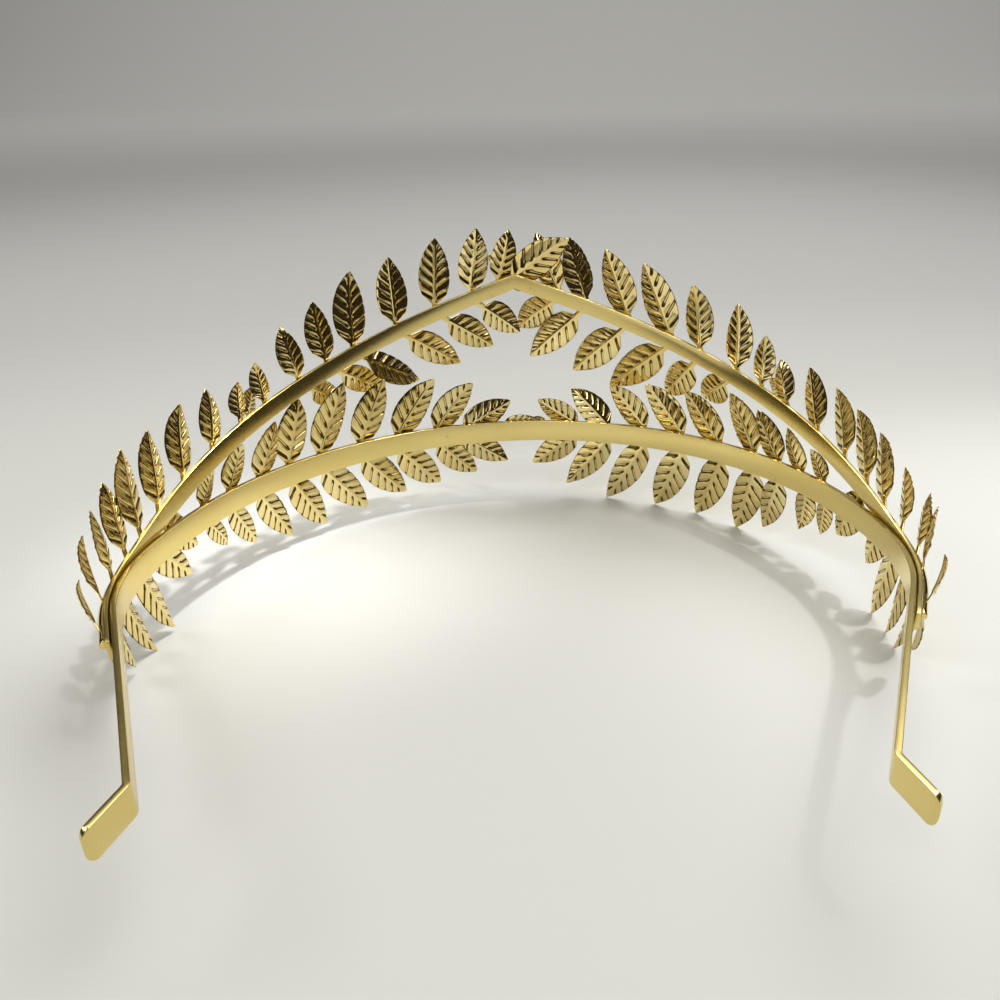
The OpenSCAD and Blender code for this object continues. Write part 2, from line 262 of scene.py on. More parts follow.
# %% [markdown]
# ## The peak strip
# A narrower strip on the head band's outer face. It is drawn the same way, with a ring each
# 2.5 mm and one at the brow, where the two arms meet in a crisp peak. Away from the peak its
# upper edge leans out a little. The lean is a guess: it makes the arms mirror the dark room and
# not the floor, as they do in the photograph.

# %% The peak strip
PEAK_LEAN = {LEFT: math.tan(math.radians(13)), RIGHT: math.tan(math.radians(9))}
LEAN_START, LEAN_RUN = 12.0, 38.0
UPRIGHT_START, UPRIGHT_RUN, UPRIGHT_SHARE = 78.0, 18.0, 0.7


def even_rise(value, start, run):
    return min(max((value - start) / run, 0), 1)


def peak_rings():
    rings = []
    for s in np.linspace(-PEAK_REACH, PEAK_REACH, 107):
        high = peak_top(s)
        low = high - peak_tall(s)
        bent = even_rise(abs(s), LEAN_START, LEAN_RUN)
        bent *= 1 - UPRIGHT_SHARE * even_rise(abs(s), UPRIGHT_START, UPRIGHT_RUN)
        lean = PEAK_LEAN[LEFT if s < 0 else RIGHT] * (high - low) / 2 * bent
        near, far = MAIN_OFFSET, MAIN_OFFSET + PEAK_THICK
        ring = [(near - lean, low), (near + lean, high), (far + lean, high), (far - lean, low)]
        rings.append([along(s, offset, z) for offset, z in ring])
    return rings


peak_band = drawn("peak_band_strip", peak_rings(), 0.14)

# %% [markdown]
# ## One pressed leaf
# Each leaf is thin sheet, cut to a pointed outline and pressed with grooves that run from the
# midrib forwards to the edge. From inside the crown the grooves are sunk, and from outside
# they stand up as ribs. Each starts with a round end just off the midrib, has steep walls and
# a flat bottom, and leaves a small notch where it runs out at the edge.
#
# The grooves lie across the outline at a slant, so cuts along X and Y can't follow them. The
# grid primitive is first made a slab with Solidify, and its points are then moved by formula,
# as a press moves sheet: its rows follow the veins, close together where a groove's wall is.
# The leaf is made once at full size, and all 99 are copies.

# %% One pressed leaf
LEAF_LENGTH, LEAF_WIDTH, NECK_WIDTH = 18.0, 7.0, 1.3
VEIN_SWEEP, VEINS, PITCH = 0.24, 7, 2.2
GROOVE_DEPTH, SHEET = 0.34, 0.34
RIB_HEIGHT, SWELL, LIFT = 0.10, 0.10, 0.10
FOLD = math.tan(math.radians(8))

row_marks = [-1.0, -0.72, -0.45, -0.2]
for vein in range(VEINS):
    for mark in (0.0, 0.275, 0.32, 0.36, 0.40, 0.44, 0.52, 0.56, 0.60, 0.64, 0.685):
        row_marks.append((vein + mark) / VEINS)
row_marks += [0.985, 1.0]
half_marks = [0.0, 0.05, 0.09, 0.13, 0.17, 0.21, 0.26, 0.34, 0.5, 0.68, 0.84, 0.93, 1.0]
column_marks = [-u for u in half_marks[:0:-1]] + half_marks


def smooth(a, b, x):
    t = np.clip((x - a) / (b - a), 0, 1)
    return t * t * (3 - 2 * t)


def blade(t):
    """Half width of the blade at a share t of its length, as a share of the greatest."""
    t = np.clip(t, 0, 1)
    return 2.529 * t**0.6 * (1 - t) ** 0.75 * (1 - 0.15 * smooth(0.78, 0.95, t))


def groove_share(t, reach):
    """How deep in a groove a point is, from 0 on the flats to 1 at the bottom."""
    across = (t * VEINS - np.floor(t * VEINS) - 0.48) * PITCH
    before = np.minimum(reach - 0.85, 0)
    width = 1.08 - 0.09 * reach
    deep = 1 - smooth(0.15 * width, 0.45 * width, np.hypot(across, before))
    return deep * smooth(0.03, 0.09, t) * (1 - 0.5 * smooth(0.90, 0.97, t))


def leaf_master():
    """A full leaf. Its X is a share of the length, and its Y and Z are millimetres."""
    rows, columns = len(row_marks), len(column_marks)
    bpy.ops.object.select_all(action="DESELECT")
    bpy.ops.mesh.primitive_grid_add(x_subdivisions=rows - 1, y_subdivisions=columns - 1, size=2)
    obj = bpy.context.object
    slab = obj.modifiers.new("sheet", "SOLIDIFY")
    slab.thickness, slab.offset = SHEET, 0
    bpy.ops.object.modifier_apply(modifier=slab.name)
    mesh = obj.data
    flat = np.array([v.co for v in mesh.vertices])
    row = np.rint((flat[:, 0] + 1) / 2 * (rows - 1)).astype(int)
    column = np.rint((flat[:, 1] + 1) / 2 * (columns - 1)).astype(int)
    layer = np.sign(flat[:, 2])
    t = np.array(row_marks)[row]
    u = np.array(column_marks)[column]
    on_blade = np.clip(t, 0, 1)
    edge_t = on_blade + VEIN_SWEEP * blade(on_blade) * (1 - 0.4 * on_blade)
    neck_half = NECK_WIDTH / 2 * (1 - on_blade) ** 2
    half = neck_half + LEAF_WIDTH / 2 * blade(edge_t)
    reach = np.abs(u) * half
    groove = groove_share(on_blade, reach)
    rim = smooth(0.88, 1.0, np.abs(u))
    half = half * (1 - 0.03 * groove * rim)
    x = np.where(t < 0, t, on_blade + (edge_t - on_blade) * np.abs(u))
    y = u * half
    fade = np.minimum(1, 2 * blade(on_blade))
    rib = RIB_HEIGHT * np.exp(-((y / 0.20) ** 2)) * smooth(0.0, 0.15, t) * (1 - 0.5 * on_blade)
    swell = SWELL * (1 - u * u) * np.sin(np.pi * on_blade)
    thick = SHEET / 2 * (1 - 0.45 * rim) * (1 - 0.3 * on_blade)
    pressed = GROOVE_DEPTH * groove * (1 - 0.6 * rim) - LIFT
    z = FOLD * np.abs(y) + pressed * fade - rib - swell + layer * thick
    mesh.vertices.foreach_set("co", np.stack([x, y, z], 1).ravel())
    # Painted shade, kept as the attribute "shade": on the inner face in the grooves' walls,
    # bottoms, round ends and edge notches, on the outer face on the rib walls, and on both along
    # a thin line at the edge.
    wall = 4 * groove * (1 - groove)
    start = np.exp(-(((reach - 0.66) / 0.30) ** 2)) * smooth(0.02, 0.4, groove)
    inside = 0.40 * wall + 1.0 * start + 0.20 * groove + 0.8 * rim * groove
    line = 0.4 * smooth(0.95, 1.0, np.abs(u))
    shade = np.clip(np.where(layer < 0, inside, 0.4 * wall) + line, 0, 1) * fade
    shares = {"shade": shade, "neck_share": neck_half / np.maximum(half, 1e-6)}
    for name, values in shares.items():
        kept = mesh.attributes.new(name, "FLOAT", "POINT")
        kept.data.foreach_set("value", values.astype(np.float32))
    mesh.update()
    return obj


master = leaf_master()
print("the master leaf has", len(master.data.polygons), "faces")

# %% [markdown]
# ## Copies of the leaf
# A small leaf isn't a shrunken large one: all necks have about the same length, and only the
# blade gets shorter and narrower. A copy therefore scales the neck and the blade apart. Each
# one also gets its own slight bend, twist and curled tip, because a press and a pair of
# pliers never leave two alike. These come from sines of the leaf's number, so they are the
# same each run.

# %% Copies of the leaf
def read_points(obj, name=None):
    mesh = obj.data
    if name is None:
        values = np.empty(len(mesh.vertices) * 3, np.float32)
        mesh.vertices.foreach_get("co", values)
        return values.reshape(-1, 3).astype(float)
    values = np.empty(len(mesh.vertices), np.float32)
    mesh.attributes[name].data.foreach_get("value", values)
    return values.astype(float)


master_points = read_points(master)
master_shade = read_points(master, "shade")
master_neck = read_points(master, "neck_share")
master_faces = [tuple(face.vertices) for face in master.data.polygons]
bpy.data.objects.remove(master)


# What differs from leaf to leaf: how much, its pace from one number to the next, its start
BEND, CURL, SWAY = (0.45, 2.1, 0.4), (0.6, 3.7, 1.3), (0.5, 2.9, 0.7)
TWIST = (math.radians(6), 1.3, 2.2)


def uneven(kind, number):
    amount, pace, start = kind
    return amount * math.sin(pace * number + start)


def leaf_copy(leaf, number):
    """Points of one leaf in millimetres, from its root along its aim."""
    x = master_points[:, 0]
    size = leaf["size"]
    blade_length = leaf["length"] - leaf["neck"]
    px = np.where(x < 0, leaf["neck"] * (1 + x), leaf["neck"] + blade_length * x)
    py = master_points[:, 1] * (master_neck + (1 - master_neck) * size)
    pz = master_points[:, 2] * (0.35 + 0.65 * size)
    share = np.clip(px / leaf["length"], 0, 1)
    bend, tip = uneven(BEND, number) + 0.15, np.clip(share - 0.75, 0, 1)
    pz += bend * np.sin(math.pi * share) - uneven(CURL, number) * 16 * tip**2
    py += uneven(SWAY, number) * 5 * size * np.clip(share - 0.55, 0, 1) ** 2
    turn = uneven(TWIST, number) * share + math.radians(leaf["roll"]) * smooth(0, 0.25, share)
    py, pz = py * np.cos(turn) - pz * np.sin(turn), py * np.sin(turn) + pz * np.cos(turn)
    aim, face = leaf["aim"], leaf["face"]
    side = np.cross(face, aim)
    return leaf["root"] + np.outer(px, aim) + np.outer(py, side) + np.outer(pz, face)


print("a copy has", len(master_points), "points")

# %% [markdown]
# ## Where the leaves grow
# No two sprays are alike in the photograph. Each has a table, and a row is a pair of leaves on
# its stem: where it sits as a share of the stem, then the upper leaf's length and angle, and
# the lower leaf's length, or how far down it reaches, and angle. Lengths are shares of a full
# leaf. Most rows were worked out from where the leaves' tips show in the photograph. The rows of
# leaves that it hides are estimates.

# %% Where the leaves grow
ROWS = {}
ROWS["main", LEFT] = [
    (0.040, 0.54, 53, 0, 0.47, 55), (0.135, 0.70, 55, 0, 0.65, 63),
    (0.233, 0.84, 55, 0, 0.79, 62), (0.340, 0.97, 69, 0, 0.83, 62),
    (0.437, 1.10, 60, 0, 0.80, 52), (0.564, 1.03, 62, 0, 0.73, 50),
    (0.678, 1.04, 52, 0, 0.68, 50), (0.798, 0.94, 49, 0, 0.56, 47),
    (0.878, 0.88, 28, 0, 0.40, 36),
]
ROWS["main", RIGHT] = [
    (0.065, 0.54, 47, 0, 0.48, 86), (0.139, 0.70, 49, 0, 0.56, 86),
    (0.224, 0.84, 49, 0, 0.80, 74), (0.313, 0.94, 55, 0, 1.00, 75),
    (0.422, 0.96, 46, 0, 1.00, 68), (0.547, 0.96, 48, 0, 1.00, 67),
    (0.668, 0.88, 48, 0, 1.00, 60), (0.780, 0.84, 44, 0, 0.80, 52),
    (0.875, 0.77, 31, 0, 0.46, 37),
]
ROWS["peak", LEFT] = [
    (0.016, 0.56, 70, 0.00, 0, 0), (0.164, 0.73, 79, 0.72, 0, 51), (0.281, 0.82, 74, 0.94, 0, 50),
    (0.385, 1.01, 64, 1.16, 0, 50), (0.561, 0.92, 70, 1.10, 0, 53),
    (0.714, 0.94, 66, 0.97, 0, 53), (0.852, 0.88, 61, 0.85, 0, 56), (0.958, 0.74, 55, 0.00, 0, 0),
]
ROWS["peak", RIGHT] = [
    (0.031, 0.68, 66, 0.00, 0, 0), (0.136, 0.88, 65, 0.72, 0, 57), (0.289, 0.89, 62, 0.88, 0, 69),
    (0.400, 1.06, 46, 1.29, 0, 57), (0.573, 0.98, 49, 1.16, 0, 60),
    (0.742, 0.90, 55, 1.14, 0, 60), (0.844, 0.88, 45, 0.88, 0, 55), (0.958, 0.74, 39, 0.00, 0, 0),
]
ROWS["side", LEFT] = [
    (0.062, 0.55, 44, 0, 0.58, 55), (0.205, 0.70, 48, 0, 0.88, 70),
    (0.304, 0.74, 60, 0, 1.00, 72), (0.403, 0.82, 63, 0, 0.93, 78),
    (0.490, 0.96, 55, 0, 0.55, 65), (0.586, 0.92, 51, 0, 0.25, 69), (0.713, 0.90, 48, 0, 0, 0),
    (0.845, 0.76, 50, 0, 0, 0), (0.976, 0.54, 58, 0, 0, 0),
]
ROWS["side", RIGHT] = [
    (0.062, 0.55, 34, 0, 0.58, 65), (0.226, 0.70, 40, 0, 1.00, 77),
    (0.296, 0.66, 52, 0, 1.00, 78), (0.405, 0.71, 45, 0, 1.00, 86),
    (0.502, 0.89, 36, 0, 0.47, 90), (0.602, 0.93, 34, 0, 0.39, 81), (0.716, 0.89, 37, 0, 0, 0),
    (0.842, 0.83, 40, 0, 0, 0), (0.974, 0.65, 44, 0, 0, 0),
]
# What a spray has: outer and inner end, offset, leans, necks
SPRAYS = {
    "main": (84.8, 6.0, MAIN_OFFSET, (3, 2), (2.2, 2.8)),
    "peak": (60.5, 1.5, OUTER_OFFSET, (4, 9), (2.0, 4.2)),
    "side": (129.0, 64.5, OUTER_OFFSET, (13, -2), (2.2, 2.6)),
}
# The leaf at a stem's inner end: angle, lean, length, and where the stem ends
END_LEAVES = {
    ("main", LEFT): (7, 0, 0.7, 6.0), ("main", RIGHT): (1, 25, 0.5, 8.0),
    ("peak", LEFT): (17, -3, 1.0, 1.5), ("peak", RIGHT): (6, 28, 0.9, 5.5),
    ("side", LEFT): (28, 24, 0.5, 64.5), ("side", RIGHT): (12, 24, 0.5, 64.5),
}
# How wide a lower leaf is, as a share of the upper one's width
LOWER_WIDTHS = {LEFT: 0.96, RIGHT: 1.08}
# How much further out the leaves by the peak lean, where two sprays cross, in degrees
CROSSING_LEAN = {("peak", RIGHT): 12.0}
# Leaves taken as rolled round their own midrib, to mirror what they do in the photograph: by
# number in their spray, in degrees
ROLLED = {("peak", LEFT, 6): -34, ("peak", RIGHT, 9): 32, ("main", RIGHT, 14): 28}
# How much further out the first leaves of a spray lean than the rest: how many, and degrees
OUTER_TILT = {("peak", LEFT): (8, 8.0), ("peak", RIGHT): (3, 5.0), ("main", LEFT): (22, -3.0)}


def unit(v):
    return v / np.linalg.norm(v)


def leaf_frame(kind, side, s, middle, angle, lean):
    """A leaf's aim and the way its outer face looks, from its angle over the stem."""
    ahead = along(side * (s - 0.5), middle, stem_z(kind, s - 0.5))
    behind = along(side * (s + 0.5), middle, stem_z(kind, s + 0.5))
    growth, out = unit(ahead - behind), outward(side * s)
    up = side * np.cross(out, growth)
    a, b = math.radians(angle), math.radians(lean)
    aim = math.cos(b) * (math.cos(a) * growth + math.sin(a) * up) + math.sin(b) * out
    return aim, unit(out - out.dot(aim) * aim)


def spray_leaves(kind, side):
    outer, inner, offset, leans, necks = SPRAYS[kind]
    angle, lean, share, stem_end = END_LEAVES[kind, side]
    middle = offset + STEM_THICK / 2
    leaves = []

    def add(s, root_s, turn, tilt, neck, size, length=None, reach=0):
        aim, face = leaf_frame(kind, side, s, middle, turn, tilt)
        root = along(side * root_s, middle, stem_z(kind, root_s))
        if reach:
            length = (root[2] - STAND * (1 - reach)) / -aim[2]
        roll = ROLLED.get((kind, side, len(leaves)), 0)
        first, further = OUTER_TILT.get((kind, side), (0, 0))
        if len(leaves) < first and aim[2] > 0:
            c, d = math.cos(math.radians(further)), math.sin(math.radians(further))
            aim, face = c * aim + d * face, c * face - d * aim
        leaf = dict(root=root, aim=aim, face=face, length=length, neck=neck, size=size, roll=roll)
        leaves.append(leaf)

    for at, upper, upper_angle, lower, reach, lower_angle in ROWS[kind, side]:
        s = outer + (inner - outer) * at
        if s <= stem_end:
            continue
        more = CROSSING_LEAN.get((kind, side), 0) if at > 0.8 else 0
        wide = min(1, upper)
        add(s, s, upper_angle, leans[0] + more, necks[0], wide, upper * LEAF_LENGTH)
        if lower or reach:
            size = wide * LOWER_WIDTHS[side]
            add(s, s, -lower_angle, leans[1] + more, necks[1], size, lower * LEAF_LENGTH, reach)
    add(stem_end, stem_end + 0.4, angle, lean, necks[0], share, share * LEAF_LENGTH)
    return leaves


print("leaves in all:", sum(len(spray_leaves(kind, side)) for kind, side in END_LEAVES))

# %% [markdown]
# ## A spray
# A spray is one soldered piece: a thin rounded stem and its leaves. The stem is drawn like the
# bands, with a six-sided section. The leaves' meshes are added to it in one go.

# %% A spray
# The number of the first leaf at each side, from which its bend, curl and twist follow
FIRST_NUMBER = {LEFT: 73, RIGHT: 87}
STEM_SHOULDER, STEM_CREST, STEM_STEP = 0.45, 0.3, 2.2


def spray_name(kind, side):
    return f"{kind}_spray_{'left' if side == LEFT else 'right'}"


def stem_rings(kind, side):
    outer, offset = SPRAYS[kind][0], SPRAYS[kind][2]
    stem_end = END_LEAVES[kind, side][3]
    rings = []
    for s in np.linspace(outer, stem_end, 2 + int((outer - stem_end) / STEM_STEP)):
        z = stem_z(kind, s)
        near, far = offset, offset + STEM_THICK
        middle, half = near + STEM_SHOULDER, STEM_WIDTH / 2
        section = [
            (near, -half), (near, half), (middle, half),
            (far, STEM_CREST), (far, -STEM_CREST), (middle, -half),
        ]
        rings.append([along(side * s, out, z + up) for out, up in section])
    return rings


def spray(kind, side):
    name = spray_name(kind, side)
    obj = drawn(name + "_leaves", stem_rings(kind, side), 0.12)
    points = [read_points(obj)]
    faces = [tuple(face.vertices) for face in obj.data.polygons]
    shade = [np.zeros(len(points[0]))]
    count = len(points[0])
    for number, leaf in enumerate(spray_leaves(kind, side)):
        points.append(leaf_copy(leaf, FIRST_NUMBER[side] + number) * MM)
        faces += [tuple(v + count for v in face) for face in master_faces]
        shade.append(master_shade)
        count += len(master_points)
    mesh = bpy.data.meshes.new(obj.name)
    mesh.from_pydata(np.concatenate(points).tolist(), [], faces)
    layer = mesh.attributes.new("shade", "FLOAT", "POINT")
    layer.data.foreach_set("value", np.concatenate(shade).astype(np.float32))
    mesh.polygons.foreach_set("use_smooth", [True] * len(mesh.polygons))
    mesh.validate()
    obj.data = mesh
    select_only(obj)
    bpy.ops.object.mode_set(mode="EDIT")
    bpy.ops.mesh.select_all(action="SELECT")
    bpy.ops.mesh.normals_make_consistent(inside=False)
    bpy.ops.object.mode_set(mode="OBJECT")
    bpy.ops.object.shade_smooth_by_angle(angle=math.radians(50))
    print(name, "has", sum(len(f.vertices) - 2 for f in mesh.polygons), "triangles")
    return obj


sprays = {(kind, side): spray(kind, side) for kind, side in END_LEAVES}

# %% [markdown]
# ## Shader maths
# Materials are sums and products of patterns. A small class holds a socket, so that an
# expression such as `mask * 0.5 + 0.1` adds its own Math nodes. Any other node comes from one
# method, which sets the node's settings first and then its sockets.

# %% Shader maths
class Wire:
    """A socket that can be added, subtracted and multiplied."""

    def __init__(self, paint, socket):
        self.paint, self.socket = paint, socket

    def _math(self, operation, a, b):
        return self.paint.node("ShaderNodeMath", {"operation": operation}, {0: a, 1: b})

    def __add__(self, other):
        return self._math("ADD", self, other)

    def __sub__(self, other):
        return self._math("SUBTRACT", self, other)

    def __mul__(self, other):
        return self._math("MULTIPLY", self, other)


class Paint:
    """A material with a metal shader in it."""

    def __init__(self, name):
        self.material = bpy.data.materials.new(name)
        self.material.use_nodes = True
        self.tree = self.material.node_tree
        self.shader = self.tree.nodes["Principled BSDF"]

    def node(self, kind, settings=None, inputs=None, output=0):
        made = self.tree.nodes.new(kind)
        for name, value in (settings or {}).items():
            setattr(made, name, value)
        for key, value in (inputs or {}).items():
            self.feed(made.inputs[key], value)
        return Wire(self, made.outputs[output])

    def feed(self, socket, value):
        if isinstance(value, Wire):
            self.tree.links.new(value.socket, socket)
        else:
            socket.default_value = value

    def noise(self, vector, scale, detail=2.0, rough=0.5):
        sockets = {"Vector": vector, "Scale": scale, "Detail": detail, "Roughness": rough}
        return self.node("ShaderNodeTexNoise", {}, sockets)

    def ramp(self, value, low, high):
        """0 below low and 1 above high, eased between."""
        settings = {"interpolation_type": "SMOOTHSTEP"}
        return self.node("ShaderNodeMapRange", settings, {0: value, 1: low, 2: high})

    def mix(self, factor, a, b):
        sockets = {0: factor, 6: a, 7: b}
        return self.node("ShaderNodeMix", {"data_type": "RGBA"}, sockets, output=2)

    def stretched(self, vector, x, y, z):
        wanted = {"operation": "MULTIPLY"}
        return self.node("ShaderNodeVectorMath", wanted, {0: vector, 1: (x, y, z)})


print("the shader classes are ready")

# %% [markdown]
# ## Satin strip
# The bands are rolled and plated strip. Fine streaks run along them from the rolls, the tone
# drifts a little over a few centimetres, and handling leaves faint smudges. The streaks are
# noise stretched along the strip. They need to follow the slope of the peak strip, so each
# band keeps how far up the strip each point is, as an attribute.

# %% Satin strip
def keep_height(obj, middle):
    """Stores each point's height over the strip's middle line, in millimetres."""
    places = read_points(obj) / MM
    s = FRONT_RADIUS * np.arctan2(np.abs(places[:, 0]), places[:, 1] - BROW_Y + FRONT_RADIUS)
    values = places[:, 2] - np.array([middle(v) for v in s])
    layer = obj.data.attributes.new("height", "FLOAT", "POINT")
    layer.data.foreach_set("value", values.astype(np.float32))


keep_height(head_band, lambda s: STAND + BAND_WIDTH / 2)
keep_height(peak_band, lambda s: peak_top(s) - peak_tall(s) / 2)


def band_metal():
    paint = Paint("band_metal")
    place = paint.node("ShaderNodeTexCoord", output=3)
    height = paint.node("ShaderNodeAttribute", {"attribute_name": "height"}, output=2)
    split = paint.node("ShaderNodeSeparateXYZ", {}, {0: place})
    y = Wire(paint, split.socket.node.outputs[1])
    along_strip = paint.node(
        "ShaderNodeCombineXYZ", {}, {0: split * 40.0, 1: y * 40.0, 2: height * 9.0}
    )
    streaks = paint.noise(along_strip, 1.0, 3.0, 0.6)
    drift = paint.noise(place, 22.0, 2.0)
    smudges = paint.noise(place, 160.0, 4.0, 0.62)
    tone = paint.ramp(drift * 0.88 + streaks * 0.12, 0.35, 0.65)
    gold = paint.mix(tone, (0.74, 0.575, 0.20, 1), (0.82, 0.66, 0.26, 1))
    pits = paint.ramp(paint.noise(place, 420.0, 2.0), 0.70, 0.78)
    tone = paint.mix(pits * 0.6, gold, (0.30, 0.20, 0.08, 1))
    paint.feed(paint.shader.inputs["Base Color"], tone)
    paint.feed(paint.shader.inputs["Roughness"], streaks * 0.04 + smudges * 0.10 + 0.16)
    ripple = paint.noise(place, 90.0, 1.0)
    sockets = {"Height": ripple * 0.04, "Distance": 0.001, "Strength": 0.6}
    bump = paint.node("ShaderNodeBump", {}, sockets)
    paint.feed(paint.shader.inputs["Normal"], bump)
    paint.shader.inputs["Metallic"].default_value = 1.0
    return paint.material


band_finish = band_metal()
print("band finish has", len(band_finish.node_tree.nodes), "nodes")

# %% [markdown]
# ## Bright leaves
# The leaves are pressed from bright plated sheet. Their flats are smooth with a faint ripple.
# The walls and round ends of the grooves look nearly black. Painted shade, a dark brown, is mixed
# into the colour there, into the groove bottoms and edge notches, and along a thin line at the
# leaf's edge: the attribute "shade" says how much.

# %% Bright leaves
def leaf_metal():
    paint = Paint("leaf_metal")
    place = paint.node("ShaderNodeTexCoord", output=3)
    shade = paint.node("ShaderNodeAttribute", {"attribute_name": "shade"}, output=2)
    drift = paint.noise(place, 60.0, 2.0)
    grain = paint.noise(place, 900.0, 2.0, 0.6)
    tone = paint.ramp(drift, 0.35, 0.65)
    gold = paint.mix(tone, (0.81, 0.64, 0.26, 1), (0.88, 0.73, 0.35, 1))
    # Painted shade: a dark brown mixed into the gold as far as the attribute "shade" reaches.
    painted_shade = paint.ramp(shade + grain * 0.12 - 0.06, 0.15, 0.50)
    tone = paint.mix(painted_shade * 0.95, gold, (0.08, 0.037, 0.006, 1))
    paint.feed(paint.shader.inputs["Base Color"], tone)
    paint.feed(paint.shader.inputs["Roughness"], grain * 0.03 + painted_shade * 0.20 + 0.05)
    ripple = paint.noise(place, 420.0, 1.0)
    sockets = {"Height": ripple * 0.035, "Distance": 0.001, "Strength": 0.7}
    bump = paint.node("ShaderNodeBump", {}, sockets)
    paint.feed(paint.shader.inputs["Normal"], bump)
    paint.shader.inputs["Metallic"].default_value = 1.0
    return paint.material


leaf_finish = leaf_metal()
print("leaf finish has", len(leaf_finish.node_tree.nodes), "nodes")

# %% [markdown]
# ## Into the frame
# Each piece takes the place of its CAD node, which is hidden, rides with the crown's one body,
# and takes its finish.

# %% Into the frame
def settle(obj, finish, node):
    obj.data.materials.clear()
    obj.data.materials.append(finish)
    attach(obj, "root")
    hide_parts(node)


settle(head_band, band_finish, "head_band")
settle(peak_band, band_finish, "peak_band")
for (kind, side), obj in sprays.items():
    settle(obj, leaf_finish, spray_name(kind, side))
print("pieces dressed:", 2 + len(sprays))

# %% [markdown]
# ## Floor
# A pale surface. Polished metal shows mostly what is round it, and the inner faces of
# this crown mirror the surface that it stands on, so its brightness matters as much as the
# lights. Its colour holds a painted pool of light: palest under the crown, greyer in a ring
# round it and paler again far off. Its far edge turns up in a smooth curve, so that no line
# shows where a wall would meet it.

# %% Floor
FLOOR_SIZE, WALL_HEIGHT = 5.0, 2.0
CURVE_STEPS, CURVE_STEP = 10, 0.19


def floor():
    bpy.ops.object.select_all(action="DESELECT")
    bpy.ops.mesh.primitive_plane_add(size=FLOOR_SIZE)
    obj = bpy.context.object
    obj.name = "floor"
    bpy.ops.object.mode_set(mode="EDIT")
    mesh = bmesh.from_edit_mesh(obj.data)
    bpy.ops.mesh.select_all(action="DESELECT")
    for edge in mesh.edges:
        edge.select = all(v.co.y > 0 for v in edge.verts)
    mesh.select_flush(True)
    bmesh.update_edit_mesh(obj.data)
    for k in range(CURVE_STEPS):
        a = math.radians(90) * (k + 0.5) / CURVE_STEPS
        step = (0, CURVE_STEP * math.cos(a), CURVE_STEP * math.sin(a))
        bpy.ops.mesh.extrude_region_move(TRANSFORM_OT_translate={"value": step})
    bpy.ops.mesh.extrude_region_move(TRANSFORM_OT_translate={"value": (0, 0, WALL_HEIGHT)})
    bpy.ops.object.mode_set(mode="OBJECT")
    bpy.ops.object.shade_smooth()
    paint = Paint("floor_pale")
    place = paint.node("ShaderNodeTexCoord", output=3)
    # Painted pool of light: the colour is palest round a point near the crown, greyer in a ring
    # round it and paler again far off.
    add = {"operation": "ADD"}
    behind = paint.node("ShaderNodeVectorMath", add, {0: place, 1: (-0.12, 0.12, 0)})
    wide = paint.stretched(behind, 0.6, 1, 1)
    away = paint.node("ShaderNodeVectorMath", {"operation": "LENGTH"}, {0: wide}, output=1)
    cloud = paint.noise(place, 3.0, 2.0)
    near = paint.mix(cloud, (0.63, 0.635, 0.60, 1), (0.66, 0.66, 0.63, 1))
    far = paint.mix(paint.ramp(away, 0.4, 1.2), (0.54, 0.54, 0.524, 1), (0.65, 0.65, 0.63, 1))
    tone = paint.mix(paint.ramp(away, 0.22, 0.42), near, far)
    paint.feed(paint.shader.inputs["Base Color"], tone)
    paint.shader.inputs["Roughness"].default_value = 0.6
    obj.data.materials.append(paint.material)
    obj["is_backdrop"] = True


floor()
print("the floor is", FLOOR_SIZE, "m wide and turns up at the back")

# %% [markdown]
# ## Lights
# Polished metal shows what stands round it, so that is arranged until the crown comes near the
# photograph: a bright floor in a dim room. Large soft lights hang over and behind the crown. A
# pale panel behind the camera's left shoulder fills the leaves that face it. Two low black
# cards at the sides, which only reflections see, keep the leaves that face sideways dark. Two
# narrow spots lay pools of light on the floor, and the lower leaves and the strips mirror them.

# %% Lights
WHITE, WARM_WHITE, WASH_WHITE = (1.0, 0.99, 0.97), (1.0, 0.98, 0.95), (1.0, 1.0, 0.98)
CARD_LENGTH, CARD_MIDDLE = 0.6, -0.12
CARD_HEIGHT, CARD_RAISED = 0.058, 0.031


def hang(data, place, target):
    obj = bpy.data.objects.new(data.name, data)
    bpy.context.scene.collection.objects.link(obj)
    obj.location = place
    obj.rotation_euler = (Vector(target) - Vector(place)).to_track_quat("-Z", "Y").to_euler()


def soft_light(name, place, target, size, power, color, spread=180):
    data = bpy.data.lights.new(name, "AREA")
    data.shape = "RECTANGLE"
    data.size, data.size_y = size
    data.energy, data.color = power, color
    data.spread = math.radians(spread)
    hang(data, place, target)


def pool_light(name, place, target, power, cone):
    data = bpy.data.lights.new(name, "SPOT")
    data.energy, data.spot_size, data.spot_blend = power, math.radians(cone), 1.0
    data.shadow_soft_size = 0.03
    hang(data, place, target)


# Painted dark reflection: each card is a black sheet that the camera never sees, put at the side
# so that the leaves facing sideways mirror darkness.
def dark_card(name, x):
    bpy.ops.object.select_all(action="DESELECT")
    bpy.ops.mesh.primitive_plane_add(size=1.0)
    obj = bpy.context.object
    obj.name = name
    for v in obj.data.vertices:
        v.co = (x, v.co.x * CARD_LENGTH + CARD_MIDDLE, v.co.y * CARD_HEIGHT + CARD_RAISED)
    paint = Paint("black_card")
    fibre = paint.noise(paint.node("ShaderNodeTexCoord", output=3), 200.0)
    tone = paint.mix(fibre, (0.02, 0.018, 0.016, 1), (0.03, 0.028, 0.025, 1))
    paint.feed(paint.shader.inputs["Base Color"], tone)
    paint.shader.inputs["Roughness"].default_value = 0.9
    obj.data.materials.append(paint.material)
    obj.visible_camera = False
    obj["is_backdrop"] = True


dark_card("card_left", -0.32)
dark_card("card_right", 0.32)
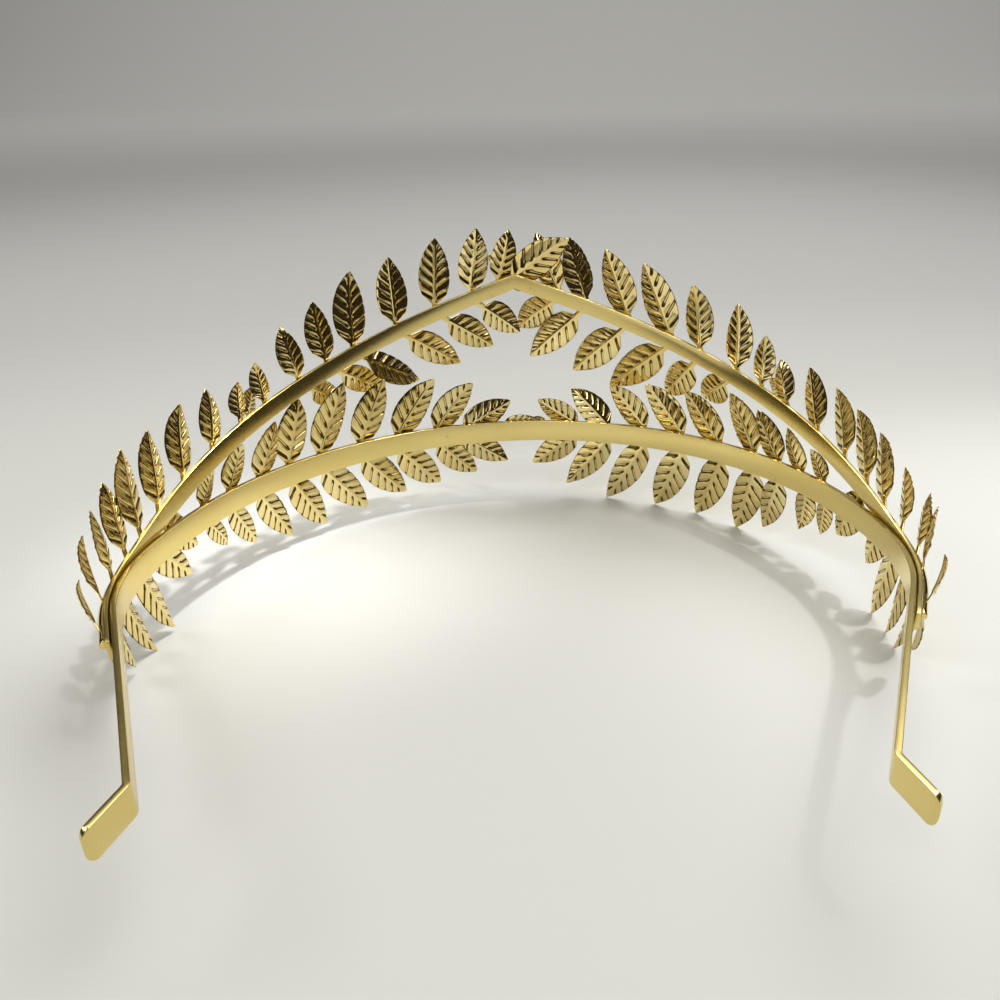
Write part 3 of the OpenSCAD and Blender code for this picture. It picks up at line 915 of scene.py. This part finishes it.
soft_light("key_window", (0.38, 0.26, 0.95), (0, -0.02, 0), (1.15, 1.0), 2.45, WHITE, 70)
soft_light("left_window", (-0.9, 0.1, 0.9), (0, 0, 0), (0.5, 0.5), 0.8, WARM_WHITE, 90)
soft_light("back_panel", (-0.6, -1.04, 0.36), (0, 0, 0.04), (1.5, 0.7), 2.75, WHITE)
soft_light("front_window", (-0.25, -0.75, 1.0), (0, 0, 0.02), (0.45, 0.3), 1.1, WHITE, 120)
soft_light("backdrop_wash", (0.3, 1.9, 2.9), (0.3, 2.5, 0), (5.0, 1.6), 44, WASH_WHITE, 140)
pool_light("pool_light", (0.2, 0.05, 0.8), (-0.052, 0.034, 0), 28.0, 7.0)
pool_light("side_light", (0.5, -0.1, 0.9), (0.145, 0.01, 0), 18.0, 15)
world = bpy.data.worlds.new("dim_room")
world.use_nodes = True
background = world.node_tree.nodes["Background"]
background.inputs["Color"].default_value = (0.36, 0.29, 0.20, 1)
background.inputs["Strength"].default_value = 0.08
bpy.context.scene.world = world
bpy.context.scene.view_settings.view_transform = "Standard"
print("seven lights, two dark cards and a dim room")

# %% [markdown]
# ## Camera
# It looks from behind and above, over the open back of the crown at the inside of its brow.
# The lens was chosen, and the place was then fitted, together with the crown's own shape, to
# where the legs, the strips and the leaf tips lie in the picture.

# %% Camera
CAMERA_PLACE = (0.00369, -0.15002, 0.10111)
TURNED, TIPPED_DOWN, ROLLED_OVER = -1.16, 25.8, 1.63


def turn_matrix(axis, degrees):
    return Matrix.Rotation(math.radians(degrees), 3, axis)


camera_data = bpy.data.cameras.new("camera")
camera_data.lens, camera_data.sensor_width = 32.4, 36.0
camera_data.shift_x = -0.06
camera = bpy.data.objects.new("camera", camera_data)
bpy.context.scene.collection.objects.link(camera)
level = Matrix(((1, 0, 0), (0, 0, -1), (0, 1, 0)))
view = turn_matrix("Z", TURNED) @ turn_matrix("X", TIPPED_DOWN)
view = view @ level @ turn_matrix("Z", ROLLED_OVER)
right, down, ahead = view[0], view[1], view[2]
camera.matrix_world = Matrix(
    (
        (right.x, -down.x, -ahead.x, CAMERA_PLACE[0]),
        (right.y, -down.y, -ahead.y, CAMERA_PLACE[1]),
        (right.z, -down.z, -ahead.z, CAMERA_PLACE[2]),
        (0, 0, 0, 1),
    )
)
bpy.context.scene.camera = camera
print("the camera is", round(camera.location.length, 3), "m from the crown's middle")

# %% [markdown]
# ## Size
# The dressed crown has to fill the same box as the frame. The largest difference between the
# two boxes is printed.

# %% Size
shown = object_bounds()
apart = max(abs(a - b) for p, q in zip(cad_box, shown) for a, b in zip(p, q))
print("largest difference:", round(apart * 1000, 2), "mm")
